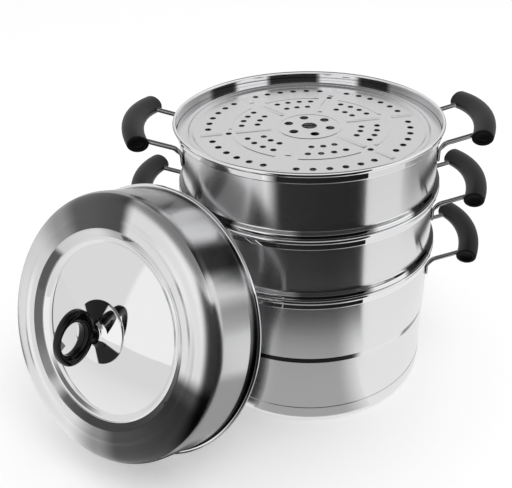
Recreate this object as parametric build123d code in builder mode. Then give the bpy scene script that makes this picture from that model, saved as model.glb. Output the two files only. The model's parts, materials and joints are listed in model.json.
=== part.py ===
from build123d import *
from math import asin, cos, radians, sin, sqrt
import os

# Stacked steamer pot of stainless steel: a cooking pot, two steaming tiers, three perforated plates,
# six wire handles with moulded grips, and a tall lid that leans against the stack.
# Millimetres, +Z up. The origin is the middle of the pot's base, and the handles lie along X.

# Sheet metal
sheet = 0.8
base_sheet = 0.6

# Walls and rims, which the pot and both tiers share
wall_radius = 141.5
collar_step = 2.5
rim_overhang = 3.0
bead_width = 3.8
bead_height = 5.2
collar_depth = 12.0
shoulder_bend = 0.7

# Foot of a tier: a swaged flange that sits on the rim below, and a spigot inside that rim's collar
seat_gap = 0.1
spigot_gap = 0.5
spigot_length = 7.5
spigot_bend = 0.6
flange_overhang = 2.2
flange_height = 5.6
flange_flare = 2.0
flange_bend = 1.8

# Pot
pot_height = 176.6
pot_step_width = 1.1
pot_step_height = 95.0
pot_step_rise = 4.5
pot_step_bend = 1.6
pot_corner = 9.0
base_cap_height = 22.0
base_core_thickness = 3.0
base_core_margin = 20.4

# Tiers
tier_pitch = 72.5
rest_gap = 0.3

# Perforated plates, where the rows, ribs and ridges lie at shares of the flat floor's radius
plate_sheet = 0.8
plate_edge_gap = 0.4
plate_brim = 8.6
plate_groove = 1.6
plate_groove_width = 5.0
plate_drop = 2.4
plate_slope = 3.5
plate_bend = 1.0
plate_sectors = 6
plate_turn = 12.0
outer_hole_share = 0.875
outer_hole_radius = 3.5
outer_holes_per_sector = 6
outer_hole_step = 8.5
middle_hole_radius = 3.3
far_hole_share = 0.589
far_holes_per_sector = 4
far_hole_step = 10.5
near_hole_share = 0.453
near_holes_per_sector = 3
near_hole_step = 12.5
rib_hole_share = 0.708
rib_hole_radius = 3.3
centre_ring_share = 0.187
centre_ring_hole_radius = 4.9
centre_hole_radius = 8.4
ridge_height = 0.8
rib_width = 8.0
rib_inner_shares = (0.342, 0.644)
rib_outer_shares = (0.764, 0.947)
arc_ridge_share = 0.684
arc_ridge_width = 3.4
arc_ridge_sweep = 44.0
centre_ridge_share = 0.274

# Handles
wire_radius = 2.6
wire_spread = 44.0
wire_start_overhang = 16.0
wire_start_drop = 12.1
wire_rise_angle = 17.0
wire_back_reach = 24.0
wire_bend = 9.0
foot_bend = 10.0
foot_length = 15.0
foot_width = 9.0
foot_thickness = 2.8
foot_corner = 2.5
foot_fall = 19.6
channel_gap = 0.15
grip_end_reach = 17.0
grip_bulge = 12.8
grip_half_length = 57.5
grip_depth = 23.2
grip_height = 18.2
grip_edge = 1.4
grip_recess_depth = 4.0
grip_recess_depth_share = 0.7
grip_recess_height_share = 0.62

# Lid, in its own frame: heights run along the lid's axis from the plane of its rim
lid_rim_radius = 147.0
lid_bead_radius = 2.5
lid_wall_inset = 4.8
lid_wall_draft = 2.6
lid_shoulder_height = 67.5
lid_shoulder_bend = 15.0
lid_shoulder_width = 25.8
lid_ring_rise = 1.2
lid_ring_width = 4.0
lid_recess_inset = 11.8
lid_recess_edge_lift = 0.1
lid_groove_width = 7.0
lid_groove_depth = 4.4
lid_ridge_inset = 2.6
lid_ridge_rise = 1.4
lid_dome_inset = 4.8
lid_dome_edge_drop = 7.0
lid_dome_rise = 12.9
lid_bend = 1.4

# Knob on the lid
knob_plate_radius = 32.5
knob_plate_lip = 1.6
knob_plate_waist_radius = 13.5
knob_plate_waist_rise = 5.0
knob_plate_top_radius = 11.0
knob_plate_rise = 8.6
knob_plate_sheet = 0.8
knob_plate_flare_bend = 8.0
knob_plate_bend = 0.5
knob_boss_radius = 9.6
knob_boss_height = 1.2
loop_width = 58.0
loop_height = 43.0
loop_side_wall = 12.0
loop_foot_wall = 11.8
loop_top_wall = 4.2
loop_foot_thickness = 15.0
loop_top_thickness = 8.6
loop_edge = 3.4
screw_radius = 2.5
screw_clearance = 0.3
screw_head_radius = 5.0
screw_head_height = 3.4
screw_head_edge = 1.0
screw_slot_width = 1.2
screw_slot_depth = 1.4
screw_engagement = 11.0
washer_radius = 10.0
washer_thickness = 1.2

# Where the lid stands: its rim on the floor, leaning back on the stack
lid_lean_angle = 22.9
lid_facing_angle = 234.0
lid_centre_bearing = 212.7
lid_stand_share = 0.4388
lid_floor_gap = 0.2

# Overrun of every cut
overrun = 5.0

# Radii that follow from the sizes above
collar_radius = wall_radius + collar_step
rim_radius = collar_radius + rim_overhang
flange_radius = collar_radius + flange_overhang
lower_wall_radius = wall_radius - pot_step_width
lid_wall_foot_radius = lid_rim_radius - lid_wall_inset
lid_wall_top_radius = lid_wall_foot_radius - lid_wall_draft
lid_ring_radius = lid_wall_top_radius - lid_shoulder_width
lid_recess_radius = lid_ring_radius - lid_recess_inset
lid_groove_radius = lid_recess_radius - lid_groove_width
lid_ridge_radius = lid_groove_radius - lid_ridge_inset
lid_dome_radius = lid_ridge_radius - lid_dome_inset

os.makedirs("parts", exist_ok=True)


def rim_top(level):
    """Height of the rim of the pot (level 0), the middle tier (1) or the top tier (2)."""
    return pot_height + level * tier_pitch


def collar_points(level):
    """Corners of the wall's outside from the ledge up to the rolled bead, with their bends."""
    ledge_bottom = rim_top(level) - collar_depth - sheet
    bead_middle = rim_top(level) - bead_height / 2
    points = [(wall_radius, ledge_bottom), (collar_radius, ledge_bottom), (collar_radius, bead_middle)]
    return points, [shoulder_bend, shoulder_bend]


def export(builder, name):
    """Label a finished piece and write it under its name."""
    builder.part.label = name
    export_step(builder.part, f"parts/{name}.step")


def other_face(points, bends, thickness):
    """Far face of a bent sheet whose metal lies left of the points, and the bends of both faces."""
    corners = [Vector(*p) for p in points]
    runs = [(b - a).normalized() for a, b in zip(corners, corners[1:])]
    lefts = [Vector(-d.Y, d.X) for d in runs]
    far = [corners[0] + lefts[0] * thickness]
    near_bends = []
    far_bends = []
    for corner, before, after, bend in zip(corners[1:], lefts, lefts[1:], bends):
        far.append(corner + (before + after) * (thickness / (1 + before.dot(after))))
        turns_left = before.X * after.Y - before.Y * after.X > 0
        near_bends.append(bend + thickness if turns_left else bend)
        far_bends.append(bend if turns_left else bend + thickness)
    far.append(corners[-1] + lefts[-1] * thickness)
    return far, near_bends, far_bends


def sheet_section(points, bends, thickness, plane=Plane.XZ):
    """Section of a bent sheet: the points run along one face, the metal lies to their left."""
    far, near_bends, far_bends = other_face(points, bends, thickness)
    with BuildSketch(plane) as section:
        with BuildLine():
            FilletPolyline(*points, radius=near_bends)
            FilletPolyline(*far, radius=far_bends)
            Line(points[0], far[0])
            Line(points[-1], far[-1])
        make_face()
    return section.sketch


def bead_section(outer_radius, width, height, middle, plane=Plane.XZ):
    """Section of a rolled edge: an oval bead whose outside is at the given radius."""
    with BuildSketch(plane) as section:
        with Locations((outer_radius - width / 2, middle)):
            Ellipse(width / 2, height / 2)
    return section.sketch


def rim_bead(level):
    """Section of the bead on the rim of the pot or of a tier."""
    return bead_section(rim_radius, bead_width, bead_height, rim_top(level) - bead_height / 2)


# Pot body: floor, lower wall, step, upper wall, ledge, collar and rolled bead
pot_floor = base_sheet + base_core_thickness
cap_radius = lower_wall_radius + base_sheet
pot_collar, pot_collar_bends = collar_points(0)
pot_outline = [
    (0, pot_floor),
    (lower_wall_radius, pot_floor),
    (lower_wall_radius, pot_step_height - pot_step_rise),
    (wall_radius, pot_step_height),
]
pot_bends = [pot_corner, pot_step_bend, pot_step_bend] + pot_collar_bends
with BuildPart() as pot_body:
    revolve(sheet_section(pot_outline + pot_collar, pot_bends, sheet), axis=Axis.Z)
    revolve(rim_bead(0), axis=Axis.Z)
export(pot_body, "pot_body")

# Base: an aluminium disc under the floor, in a steel cap drawn up round the corner
with BuildPart() as base_core:
    with BuildSketch(Plane.XY.offset(base_sheet)):
        Circle(lower_wall_radius - base_core_margin)
    extrude(amount=base_core_thickness)
export(base_core, "base_core")

cap_outline = [(0, 0), (cap_radius, 0), (cap_radius, base_cap_height)]
with BuildPart() as base_cap:
    revolve(sheet_section(cap_outline, [pot_corner + sheet], base_sheet), axis=Axis.Z)
export(base_cap, "base_cap")

# Tiers: spigot, flange that sits on the rim below, wall, ledge, collar and rolled bead
spigot_radius = collar_radius - sheet - spigot_gap


def tier(level):
    """One steaming tier, open at the bottom and the top."""
    seat = rim_top(level - 1) + seat_gap
    collar, collar_bends = collar_points(level)
    outline = [
        (spigot_radius, seat - spigot_length),
        (spigot_radius, seat),
        (flange_radius, seat),
        (flange_radius, seat + flange_height),
        (wall_radius, seat + flange_height + flange_flare),
    ]
    bends = [spigot_bend, flange_bend, flange_bend, flange_bend] + collar_bends
    with BuildPart() as shell:
        revolve(sheet_section(outline + collar, bends, sheet), axis=Axis.Z)
        revolve(rim_bead(level), axis=Axis.Z)
    return shell


export(tier(1), "middle_tier")
export(tier(2), "top_tier")

# Perforated plates: brim on the ledge, ring groove, sloped edge, flat floor with ribs and holes
plate_radius = collar_radius - sheet - plate_edge_gap
groove_end = plate_radius - plate_brim - plate_groove_width
floor_radius = groove_end - plate_slope
arc_ridge_radius = floor_radius * arc_ridge_share


def ridge_section(width, place, outward, across):
    """Section of a low rounded ridge, a segment of a circle that rises from the plate's top."""
    with BuildSketch(Plane(origin=place, x_dir=across, z_dir=outward)) as section:
        with BuildLine():
            ThreePointArc((-width / 2, 0), (0, ridge_height), (width / 2, 0))
            Line((width / 2, 0), (width / 2, -plate_sheet / 2))
            Line((width / 2, -plate_sheet / 2), (-width / 2, -plate_sheet / 2))
            Line((-width / 2, -plate_sheet / 2), (-width / 2, 0))
        make_face()
    return section.sketch


def polar(radius, angle):
    """Point at a radius and an angle in degrees."""
    return (radius * cos(radians(angle)), radius * sin(radians(angle)))


def hole_row(share, middle, count, step):
    """Places of a row of holes on an arc, centred on the angle in the middle of a sector."""
    return [polar(floor_radius * share, middle + step * (i - (count - 1) / 2)) for i in range(count)]


def plate(level):
    """One perforated plate on the ledge of the pot or of a tier."""
    underside = rim_top(level) - collar_depth + rest_gap
    brim_top = underside + plate_sheet
    floor_top = brim_top - plate_drop
    outline = [
        (plate_radius, brim_top),
        (groove_end + plate_groove_width, brim_top),
        (groove_end + plate_groove_width / 2, brim_top - plate_groove),
        (groove_end, brim_top),
        (floor_radius, floor_top),
        (0, floor_top),
    ]
    sector = 360 / plate_sectors
    with BuildPart() as disc:
        revolve(sheet_section(outline, [plate_bend] * 4, plate_sheet), axis=Axis.Z)
        for i in range(plate_sectors):
            rib_angle = plate_turn + i * sector
            along = Vector(*polar(1, rib_angle))
            across = Vector(-along.Y, along.X)
            for start, end in (rib_inner_shares, rib_outer_shares):
                place = along * floor_radius * start + Vector(0, 0, floor_top)
                rib_length = floor_radius * (end - start)
                extrude(ridge_section(rib_width, place, along, across), amount=rib_length)
            along = Vector(*polar(1, rib_angle + (sector - arc_ridge_sweep) / 2))
            across = Vector(-along.Y, along.X)
            place = along * arc_ridge_radius + Vector(0, 0, floor_top)
            arc_ridge = ridge_section(arc_ridge_width, place, across, along)
            revolve(arc_ridge, axis=Axis.Z, revolution_arc=arc_ridge_sweep)
        place = Vector(floor_radius * centre_ridge_share, 0, floor_top)
        revolve(ridge_section(arc_ridge_width, place, Vector(0, 1, 0), Vector(1, 0, 0)), axis=Axis.Z)
        centre_ring = floor_radius * centre_ring_share
        rib_hole_ring = floor_radius * rib_hole_share
        with BuildSketch(Plane.XY.offset(floor_top - plate_sheet - overrun)):
            Circle(centre_hole_radius)
            with PolarLocations(centre_ring, plate_sectors, start_angle=plate_turn + sector / 2):
                Circle(centre_ring_hole_radius)
            with PolarLocations(rib_hole_ring, plate_sectors // 2, start_angle=plate_turn + sector):
                Circle(rib_hole_radius)
            for i in range(plate_sectors):
                middle = plate_turn + (i + 1 / 2) * sector
                outer_row = hole_row(outer_hole_share, middle, outer_holes_per_sector, outer_hole_step)
                with Locations(*outer_row):
                    Circle(outer_hole_radius)
                far_row = hole_row(far_hole_share, middle, far_holes_per_sector, far_hole_step)
                near_row = hole_row(near_hole_share, middle, near_holes_per_sector, near_hole_step)
                with Locations(*far_row, *near_row):
                    Circle(middle_hole_radius)
        extrude(amount=plate_sheet + ridge_height + 2 * overrun, mode=Mode.SUBTRACT)
    return disc


export(plate(0), "lower_plate")
export(plate(1), "middle_plate")
export(plate(2), "top_plate")

# Handles: a bent wire with two flattened feet spot-welded to the wall, and a curved grip round its back
rise = radians(wire_rise_angle)
wire_start_reach = collar_radius + wire_start_overhang
foot_reach = sqrt((wall_radius + foot_thickness) ** 2 - wire_spread**2)
wire_bend_drop = wire_start_drop + (wire_start_reach - foot_reach) * sin(rise) / cos(rise)
foot_bottom_drop = wire_bend_drop + foot_fall
grip_mid_reach = grip_end_reach + grip_bulge


def handle_plane(level, side):
    """Plane of a handle: X runs outwards and up, Y along the grip, and the origin is over the rim."""
    height = rim_top(level) - wire_start_drop
    outward = Vector(side * cos(rise), 0, sin(rise))
    along = Vector(0, 1, 0)
    return Plane(origin=(side * wire_start_reach, 0, height), x_dir=outward, z_dir=outward.cross(along))


def wire_route(level, side):
    """Route of a wire: up the wall, out to the grip, along it, and back down to the wall."""
    plane = handle_plane(level, side)
    front = [
        Vector(side * foot_reach, -wire_spread, rim_top(level) - foot_bottom_drop + foot_length / 2),
        Vector(side * foot_reach, -wire_spread, rim_top(level) - wire_bend_drop),
        plane.from_local_coords(Vector(wire_back_reach, -wire_spread, 0)),
    ]
    back = [Vector(p.X, -p.Y, p.Z) for p in reversed(front)]
    with BuildLine() as route:
        FilletPolyline(*front, *back, radius=[foot_bend, wire_bend, wire_bend, foot_bend])
    return route.wires()[0]


def wire(level, side):
    """Bent wire and its two feet, which are flattened against the wall."""
    route = wire_route(level, side)
    foot_turn = asin(wire_spread / (wall_radius + foot_thickness))
    foot_middle = Vector(0, 0, rim_top(level) - foot_bottom_drop + foot_length / 2)
    with BuildPart() as bent_wire:
        for end in (-1, 1):
            outward = Vector(side * cos(foot_turn), end * sin(foot_turn), 0)
            with BuildSketch(Plane(origin=foot_middle, x_dir=(-outward.Y, outward.X, 0), z_dir=outward)):
                RectangleRounded(foot_width, foot_length, foot_corner)
            extrude(amount=wall_radius + foot_thickness)
        with BuildSketch(Plane.XY.offset(rim_top(level) - foot_bottom_drop - overrun)):
            Circle(wall_radius)
        extrude(amount=foot_length + 2 * overrun, mode=Mode.SUBTRACT)
        with BuildSketch(Plane(origin=route @ 0, z_dir=route % 0)):
            Circle(wire_radius)
        sweep(path=route)
    return bent_wire


def grip(level, side):
    """Curved grip with a channel for the wire and a recess in each end."""
    plane = handle_plane(level, side)
    route = wire_route(level, side)
    ends = [(grip_end_reach, -grip_half_length), (grip_end_reach, grip_half_length)]
    with BuildLine(plane) as spine:
        ThreePointArc(ends[0], (grip_mid_reach, 0), ends[1])
    curve = spine.edges()[0]
    with BuildPart() as moulding:
        with BuildSketch(Plane(origin=curve @ 0, x_dir=plane.z_dir, z_dir=curve % 0)):
            Ellipse(grip_height / 2, grip_depth / 2)
        sweep(path=curve)
        fillet(faces().filter_by(GeomType.PLANE).edges(), radius=grip_edge)
        recess_height = grip_height * grip_recess_height_share
        recess_depth = grip_depth * grip_recess_depth_share
        for place, inward in ((0, 1), (1, -1)):
            end_direction = (curve % place) * inward
            with BuildSketch(Plane(origin=curve @ place, x_dir=plane.z_dir, z_dir=end_direction)):
                Ellipse(recess_height / 2, recess_depth / 2)
            extrude(amount=grip_recess_depth, mode=Mode.SUBTRACT)
        with BuildSketch(Plane(origin=route @ 0, z_dir=route % 0)):
            Circle(wire_radius + channel_gap)
        sweep(path=route, mode=Mode.SUBTRACT)
    return moulding


for level, piece in enumerate(("pot", "middle_tier", "top_tier")):
    for side, hand in ((-1, "left"), (1, "right")):
        export(wire(level, side), f"{piece}_{hand}_wire")
        export(grip(level, side), f"{piece}_{hand}_grip")

# Lid: the frame of its rim, with X up the slope and Z along the lid's axis, away from the stack
lean = radians(lid_lean_angle)
facing = radians(lid_facing_angle)
bearing = radians(lid_centre_bearing)
lid_centre_distance = rim_radius + lid_rim_radius * lid_stand_share
lid_axis_direction = Vector(cos(lean) * cos(facing), cos(lean) * sin(facing), sin(lean))
lid_up = (Vector(0, 0, 1) - lid_axis_direction * sin(lean)).normalized()
bead_axis_height = lid_floor_gap + lid_bead_radius
lid_centre_height = bead_axis_height + (lid_rim_radius - lid_bead_radius) * cos(lean) - lid_bead_radius * sin(lean)
lid_centre_direction = Vector(cos(bearing), sin(bearing))
lid_centre = lid_centre_direction * lid_centre_distance + Vector(0, 0, lid_centre_height)
lid_section = Plane(origin=lid_centre, x_dir=lid_up, z_dir=lid_up.cross(lid_axis_direction))
lid_axis = Axis(lid_centre, lid_axis_direction)


def lid_level(height):
    """Plane across the lid's axis at a height over the rim."""
    return Plane(origin=lid_centre + lid_axis_direction * height, x_dir=lid_up, z_dir=lid_axis_direction)


lid_recess_edge_height = lid_shoulder_height + lid_recess_edge_lift
lid_dome_edge_height = lid_recess_edge_height - lid_dome_edge_drop
lid_dome_height = lid_dome_edge_height + lid_dome_rise
lid_outline = [
    (lid_wall_foot_radius, lid_bead_radius),
    (lid_wall_top_radius, lid_shoulder_height),
    (lid_ring_radius + lid_ring_width, lid_shoulder_height),
    (lid_ring_radius, lid_shoulder_height + lid_ring_rise),
    (lid_ring_radius - lid_ring_width, lid_recess_edge_height),
    (lid_recess_radius, lid_recess_edge_height),
    (lid_groove_radius, lid_recess_edge_height - lid_groove_depth),
    (lid_ridge_radius, lid_recess_edge_height - lid_groove_depth + lid_ridge_rise),
    (lid_dome_radius, lid_dome_edge_height),
]
lid_bends = [lid_shoulder_bend] + [lid_bend] * 7
dome_arc_radius = (lid_dome_radius**2 + lid_dome_rise**2) / (2 * lid_dome_rise)


def dome_point(share):
    """Point of the dome's outside at a share of the way from its top to its edge."""
    angle = share * asin(lid_dome_radius / dome_arc_radius)
    return (dome_arc_radius * sin(angle), lid_dome_height - dome_arc_radius * (1 - cos(angle)))


with BuildPart() as lid_shell:
    lid_inside, lid_bends_out, lid_bends_in = other_face(lid_outline + [dome_point(0.9)], lid_bends, sheet)
    valley = Vector(lid_dome_radius, lid_dome_edge_height)
    valley_inside = lid_inside[-2]
    dome_middle = Vector(*dome_point(0.5))
    dome_normal = (dome_middle - Vector(0, lid_dome_height - dome_arc_radius)).normalized()
    with BuildSketch(lid_section):
        with BuildLine():
            FilletPolyline(*lid_outline, radius=lid_bends_out[:-1])
            ThreePointArc(valley, dome_middle, (0, lid_dome_height))
            Line((0, lid_dome_height), (0, lid_dome_height - sheet))
            ThreePointArc((0, lid_dome_height - sheet), dome_middle - dome_normal * sheet, valley_inside)
            FilletPolyline(*lid_inside[:-1], radius=lid_bends_in[:-1])
            Line(lid_outline[0], lid_inside[0])
        make_face()
        fillet(vertices().sort_by_distance(valley)[0], radius=lid_bends_out[-1])
        fillet(vertices().sort_by_distance(valley_inside)[0], radius=lid_bends_in[-1])
    revolve(axis=lid_axis)
    size = 2 * lid_bead_radius
    revolve(bead_section(lid_rim_radius, size, size, lid_bead_radius, lid_section), axis=lid_axis)
    with BuildSketch(lid_level(lid_dome_height - sheet - overrun)):
        Circle(screw_radius + screw_clearance)
    extrude(amount=sheet + 2 * overrun, mode=Mode.SUBTRACT)
export(lid_shell, "lid_shell")

# Knob plate: a flared cup of bright steel that stands on the dome and carries the knob
plate_foot_drop = dome_arc_radius - sqrt(dome_arc_radius**2 - knob_plate_radius**2)
knob_plate_foot = lid_dome_height - plate_foot_drop + rest_gap
knob_seat = lid_dome_height + knob_plate_rise
knob_plate_outline = [
    (knob_plate_radius, knob_plate_foot),
    (knob_plate_radius, knob_plate_foot + knob_plate_lip),
    (knob_plate_waist_radius, lid_dome_height + knob_plate_waist_rise),
    (knob_plate_top_radius, knob_seat),
    (0, knob_seat),
]
knob_plate_bends = [knob_plate_bend, knob_plate_flare_bend, knob_plate_bend]
with BuildPart() as knob_plate:
    knob_plate_section = sheet_section(knob_plate_outline, knob_plate_bends, knob_plate_sheet, lid_section)
    revolve(knob_plate_section, axis=lid_axis)
    with BuildSketch(lid_level(knob_seat - knob_plate_sheet - overrun)):
        Circle(screw_radius + screw_clearance)
    extrude(amount=knob_plate_sheet + 2 * overrun, mode=Mode.SUBTRACT)
export(knob_plate, "knob_plate")

# Knob: a moulded loop that thins towards its top, on a round boss with a blind hole for the screw
loop_foot = knob_seat + knob_boss_height
loop_top = loop_foot + loop_height
loop_hole_middle = (loop_foot + loop_foot_wall + loop_top - loop_top_wall) / 2
loop_hole_height = loop_height - loop_foot_wall - loop_top_wall
loop_thinning = overrun * (loop_foot_thickness - loop_top_thickness) / (2 * loop_height)
wedge_foot = loop_foot_thickness / 2 + loop_thinning
wedge_top = loop_top_thickness / 2 - loop_thinning
loop_wedge = [
    (-wedge_foot, loop_foot - overrun),
    (wedge_foot, loop_foot - overrun),
    (wedge_top, loop_top + overrun),
    (-wedge_top, loop_top + overrun),
]
with BuildPart() as knob:
    with BuildSketch(lid_section):
        with Locations((0, (loop_foot + loop_top) / 2)):
            Ellipse(loop_width / 2, loop_height / 2)
    extrude(amount=loop_foot_thickness, both=True)
    with BuildSketch(Plane(origin=lid_centre, x_dir=lid_section.z_dir, z_dir=-lid_up)):
        with BuildLine():
            Polyline(*loop_wedge, close=True)
        make_face()
    extrude(amount=loop_width, both=True, mode=Mode.INTERSECT)
    fillet(edges().sort_by(SortBy.LENGTH)[-2:], radius=loop_edge)
    with BuildSketch(lid_section):
        with Locations((0, loop_hole_middle)):
            Ellipse(loop_width / 2 - loop_side_wall, loop_hole_height / 2)
    extrude(amount=loop_foot_thickness, both=True, mode=Mode.SUBTRACT)
    with BuildSketch(lid_level(knob_seat)):
        Circle(knob_boss_radius)
    extrude(amount=knob_boss_height + loop_edge)
    with BuildSketch(lid_level(knob_seat)):
        Circle(screw_radius + screw_clearance)
    extrude(amount=screw_engagement, mode=Mode.SUBTRACT)
export(knob, "knob")

# Screw and washer that hold the knob from inside the lid
dome_inside_radius = dome_arc_radius - sheet
washer_sag = dome_inside_radius - sqrt(dome_inside_radius**2 - washer_radius**2)
washer_top = lid_dome_height - sheet - washer_sag
with BuildPart() as knob_washer:
    with BuildSketch(lid_level(washer_top - washer_thickness)):
        Circle(washer_radius)
        Circle(screw_radius + screw_clearance, mode=Mode.SUBTRACT)
    extrude(amount=washer_thickness)
export(knob_washer, "knob_washer")

head_top = washer_top - washer_thickness
with BuildPart() as knob_screw:
    with BuildSketch(lid_level(head_top - screw_head_height)):
        Circle(screw_head_radius)
    extrude(amount=screw_head_height)
    fillet(edges().sort_by(lid_axis)[0], radius=screw_head_edge)
    with BuildSketch(lid_level(head_top)):
        Circle(screw_radius)
    extrude(amount=knob_seat + screw_engagement - rest_gap - head_top)
    with BuildSketch(lid_level(head_top - screw_head_height)):
        Rectangle(2 * screw_head_radius, screw_slot_width)
    extrude(amount=screw_slot_depth, mode=Mode.SUBTRACT)
export(knob_screw, "knob_screw")
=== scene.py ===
import json
import logging
from dataclasses import dataclass, field
from enum import Enum
from math import asin, cos, pi, radians, sin, sqrt, tan

import bmesh
import bpy
import numpy as np
from bpy.types import Material, Mesh, Node, NodeSocket, NodeTree, Object
from mathutils import Matrix, Vector

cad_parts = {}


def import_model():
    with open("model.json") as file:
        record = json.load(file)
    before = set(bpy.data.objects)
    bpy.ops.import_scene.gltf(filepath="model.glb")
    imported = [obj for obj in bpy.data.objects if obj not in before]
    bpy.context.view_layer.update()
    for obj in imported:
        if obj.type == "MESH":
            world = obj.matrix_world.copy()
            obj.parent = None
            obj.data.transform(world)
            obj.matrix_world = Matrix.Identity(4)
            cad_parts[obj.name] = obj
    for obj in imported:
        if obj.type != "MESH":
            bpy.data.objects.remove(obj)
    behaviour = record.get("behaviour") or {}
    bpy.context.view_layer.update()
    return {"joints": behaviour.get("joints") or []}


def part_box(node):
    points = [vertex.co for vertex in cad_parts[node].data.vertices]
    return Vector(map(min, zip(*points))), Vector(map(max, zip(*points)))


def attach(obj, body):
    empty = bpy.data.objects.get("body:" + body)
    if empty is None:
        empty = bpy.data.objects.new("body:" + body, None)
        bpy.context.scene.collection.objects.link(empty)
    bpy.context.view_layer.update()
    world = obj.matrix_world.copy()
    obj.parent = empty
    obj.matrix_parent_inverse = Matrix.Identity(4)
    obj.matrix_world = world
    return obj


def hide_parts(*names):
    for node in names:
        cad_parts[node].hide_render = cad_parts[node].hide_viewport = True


# Stacked steamer pot of stainless steel, with its lid leaning on the stack. Sizes are millimetres
# until a mesh is made, and the frame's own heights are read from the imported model.

LOG = logging.getLogger("steamer_pot")
MM = 0.001
MAP_NAME = "around"
HOLD_LENGTH = 0.4
HOLD_SHARE = 0.2
WHITE = (1.0, 1.0, 1.0, 1.0)
BLACK = (0.0, 0.0, 0.0, 1.0)
BUMP_HEIGHT = 0.0002

# Painted sheen: light and dark bands of reflection painted into the colour round a turned face, as shares
# of the way round and tones. On the lid it starts at the top.
RING_PAINTED_SHEEN = (
    (0.0, 0.1), (0.08, 0.14), (0.12, 0.4), (0.18, 0.9), (0.25, 1.0), (0.46, 1.0), (0.52, 0.35),
    (0.56, 0.1), (0.7, 0.04), (0.725, 0.1), (0.75, 1.0), (0.98, 1.0), (1.0, 0.1),
)
SIDE_SHEEN_START = ((0.0, 0.45), (0.1, 0.6), (0.5, 0.6))
SIDE_SHEEN_END = (
    (0.855, 0.85), (0.872, 0.12), (0.892, 0.1), (0.912, 1.0), (0.948, 1.0), (0.962, 0.3),
    (0.985, 0.3), (1.0, 0.45),
)
SKIRT_PAINTED_SHEEN = SIDE_SHEEN_START + ((0.62, 0.75), (0.75, 0.9)) + SIDE_SHEEN_END
FOOT_PAINTED_SHEEN = SIDE_SHEEN_START + ((0.56, 0.3), (0.585, 0.03), (0.75, 0.03), (0.79, 0.2), (0.83, 0.85)) + SIDE_SHEEN_END
RECESS_PAINTED_SHEEN = (
    (0.0, 0.5), (0.05, 0.9), (0.14, 0.85), (0.155, 0.14), (0.3, 0.16), (0.38, 0.3), (0.41, 0.8),
    (0.44, 0.2), (0.5, 0.08), (0.7, 0.05), (0.74, 0.1), (0.78, 0.9), (0.92, 1.0), (1.0, 0.5),
)
CHROME_PAINTED_SHEEN = (
    (0.0, 0.02), (0.13, 0.02), (0.14, 1.0), (0.53, 1.0), (0.54, 0.02), (0.69, 0.03), (0.7, 1.0),
    (0.955, 1.0), (0.965, 0.02), (1.0, 0.02),
)
STEP_PAINTED_SHEEN = ((0.0, 0.2), (0.6, 0.02), (0.797, 0.02), (0.812, 1.0), (0.872, 1.0), (0.884, 0.08), (1.0, 0.2))
COLLAR_PAINTED_SHEEN = (
    (0.0, 0.5), (0.06, 0.6), (0.12, 0.35), (0.13, 0.03), (0.17, 0.03), (0.18, 1.0), (0.225, 1.0),
    (0.233, 0.03), (0.298, 0.03), (0.306, 1.0), (0.345, 1.0), (0.353, 0.03), (0.388, 0.03), (0.4, 0.4),
    (0.5, 0.6), (1.0, 0.5),
)
FLANGE_PAINTED_SHEEN = (
    (0.0, 0.03), (0.1, 0.3), (0.5, 0.3), (0.6, 0.03), (0.652, 0.03), (0.664, 1.0), (0.72, 1.0),
    (0.735, 0.2), (0.81, 0.2), (0.822, 1.0), (0.866, 1.0), (0.876, 0.03), (1.0, 0.03),
)


class Side(Enum):
    """Side of the stack that a handle is on, and the sign of X there."""

    LEFT = -1
    RIGHT = 1


class Lines(Enum):
    """Marks on a face: lines round its axis, lines with no direction, or a moulded grain."""

    ROUND = "round"
    EVEN = "even"
    GRAIN = "grain"


class Level(Enum):
    """Vessel of the stack, and the start of its nodes' names."""

    POT = "pot"
    MIDDLE = "middle_tier"
    TOP = "top_tier"


# Outlines and surfaces


def unit(rows: np.ndarray) -> np.ndarray:
    """Vectors of the same directions, each of length one."""
    return rows / np.linalg.norm(rows, axis=-1, keepdims=True)


def bent(values: np.ndarray, power: float) -> np.ndarray:
    """Values raised to a power, each with its own sign."""
    return np.sign(values) * np.abs(values) ** power


def rounded(points, bends, steps: int = 8) -> np.ndarray:
    """Round the inner corners of a run of straight lines, in two or three dimensions.

    Each corner becomes an arc that touches both lines. The arc's centre lies on the corner's
    bisector at bend / sin(half angle), and the arc is the weighted sum of its two end spokes. Each
    straight stretch gets a point close to either end, which keeps its shading flat.

    Args:
        points: Corners of the line, one row each.
        bends: Radius of the arc at each inner corner.
        steps: Number of pieces that an arc is cut into.

    Returns:
        The points of the rounded line, one row each.
    """
    corners = np.asarray(points, float)
    share = np.linspace(0, 1, steps + 1)[:, None]
    arcs = [corners[:1]]
    for before, corner, after, bend in zip(corners, corners[1:], corners[2:], bends):
        back, ahead = unit(before - corner), unit(after - corner)
        half = np.arccos(np.clip(back @ ahead, -1.0, 1.0)) / 2
        centre = corner + unit(back + ahead) * bend / np.sin(half)
        start = corner + back * bend / np.tan(half) - centre
        end = corner + ahead * bend / np.tan(half) - centre
        turn = pi - 2 * half
        spokes = np.sin((1 - share) * turn) * start + np.sin(share * turn) * end
        arcs.append(centre + spokes / np.sin(turn))
    arcs.append(corners[-1:])
    pieces = [arcs[0]]
    for left, right in zip(arcs, arcs[1:]):
        run = right[0] - left[-1]
        hold = unit(run) * min(HOLD_LENGTH, HOLD_SHARE * np.linalg.norm(run))
        pieces += [left[-1:] + hold, right[:1] - hold, right]
    return np.concatenate(pieces)


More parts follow.
